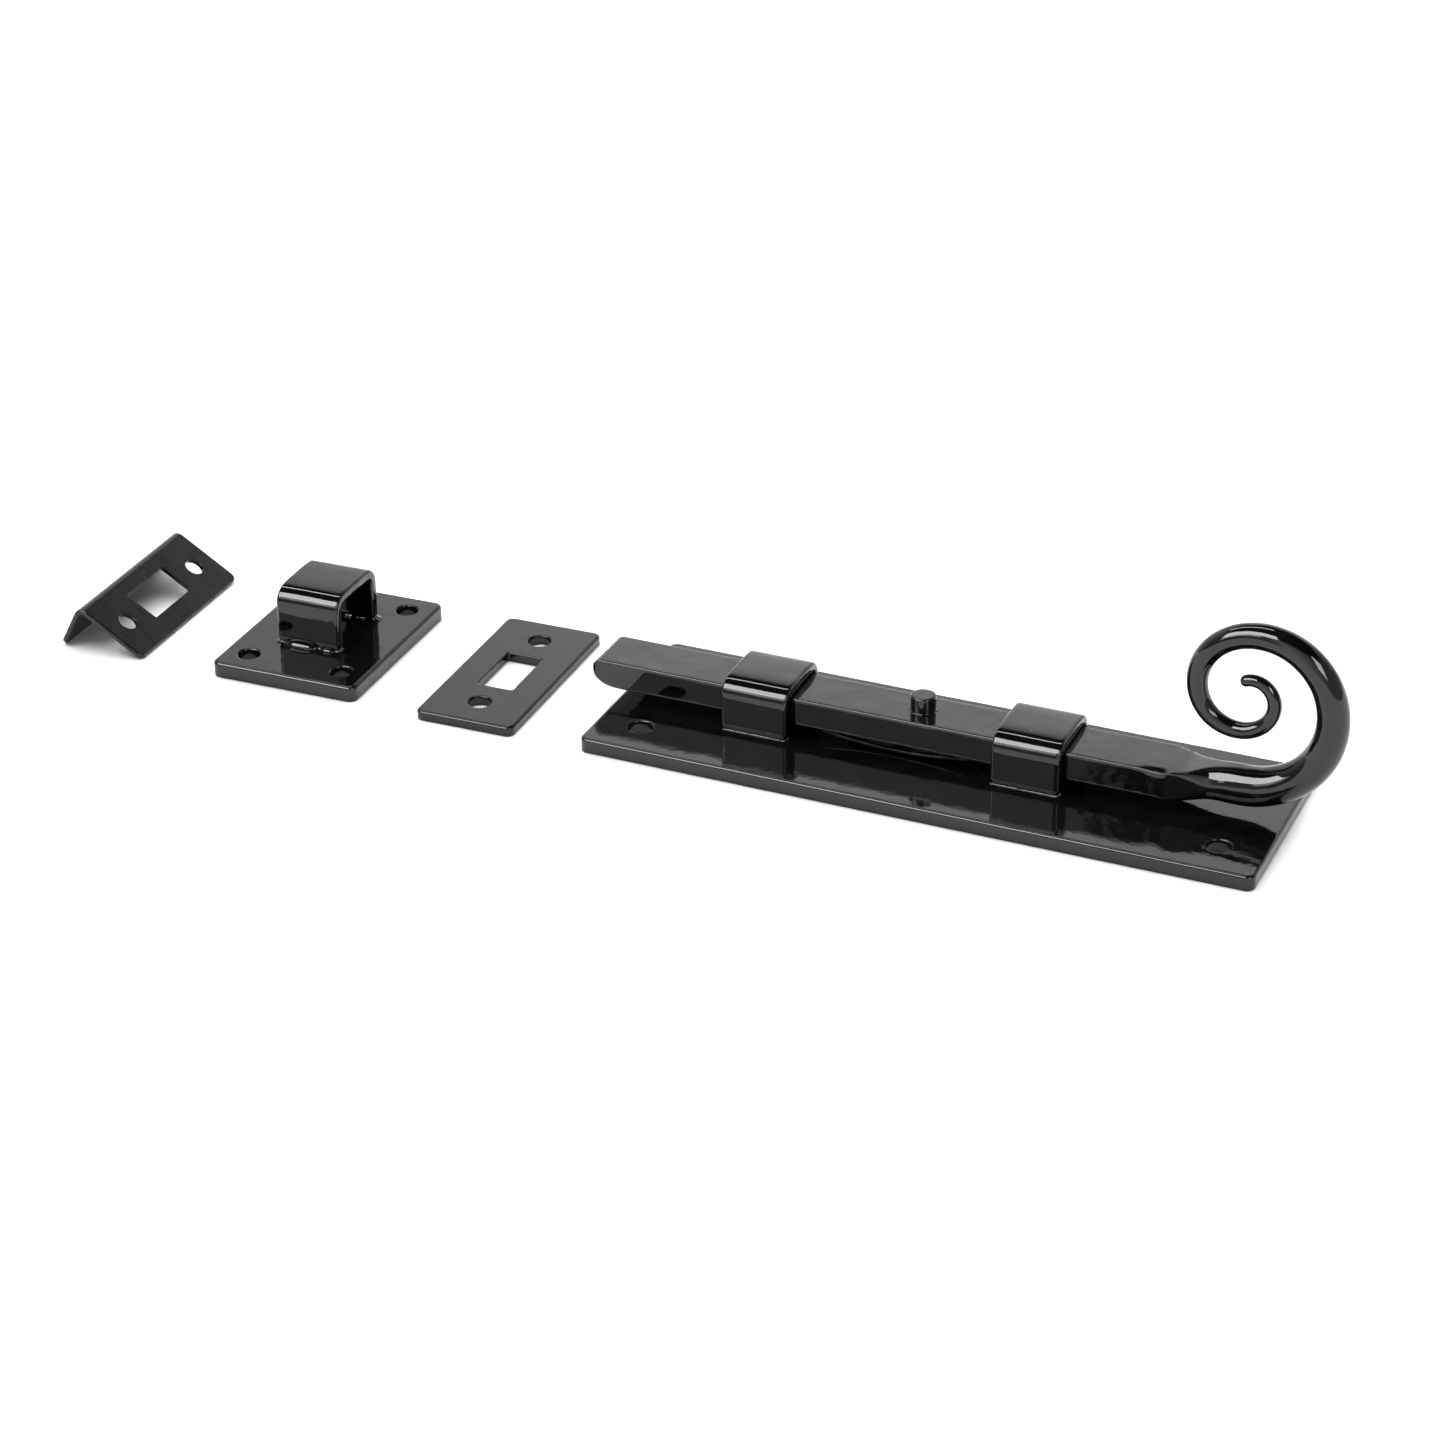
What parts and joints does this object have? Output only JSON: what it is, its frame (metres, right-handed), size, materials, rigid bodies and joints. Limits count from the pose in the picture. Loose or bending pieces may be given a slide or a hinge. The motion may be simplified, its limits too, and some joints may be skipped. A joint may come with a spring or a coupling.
{
  "type": "sliding door bolt",
  "caption": "Surface-mounted sliding door bolt: flat bar held in staples on a back plate, with a forged scroll handle, a stop pin and a friction spring, and alternative keeps.",
  "frame": {"origin": "centre of the back plate's underside, on the surface the plate is screwed to", "axes": "+X along the bolt towards the scroll, so the bolt shoots along -X; +Z out of the door's face; +Y across the bolt"},
  "size_m": [0.297, 0.051, 0.048],
  "materials": {
    "gloss_enamel": "gloss black stove enamel over forged steel, with a soft orange-peel waviness",
    "satin_enamel": "satin black enamel on flat sheet steel",
    "spring_steel": "oil-darkened spring steel"
  },
  "bodies": {
    "base": {"back_plate": "gloss_enamel", "front_staple": "gloss_enamel", "rear_staple": "gloss_enamel", "friction_spring": "spring_steel", "spring_rivet": "spring_steel"},
    "bolt": {"bolt_bar": "gloss_enamel", "scroll_tail": "gloss_enamel", "stop_pin": "gloss_enamel"},
    "flat_keep": {"flat_keep_plate": "satin_enamel"},
    "bridge_keep": {"bridge_keep_plate": "gloss_enamel", "bridge_keep_staple": "gloss_enamel"},
    "angle_keep": {"angle_keep_plate": "satin_enamel"}
  },
  "joints": [
    {"name": "bolt_throw", "type": "slide", "parent": "base", "child": "bolt", "axis": [-1, 0, 0], "range_m": [-0.0155, 0.025]},
    {"name": "flat_keep_lift", "type": "slide", "parent": "base", "child": "flat_keep", "axis": [0, 0, 1], "range_m": [0, 0.06]},
    {"name": "bridge_keep_lift", "type": "slide", "parent": "base", "child": "bridge_keep", "axis": [0, 0, 1], "range_m": [0, 0.06]},
    {"name": "angle_keep_lift", "type": "slide", "parent": "base", "child": "angle_keep", "axis": [0, 0, 1], "range_m": [0, 0.06]}
  ]
}
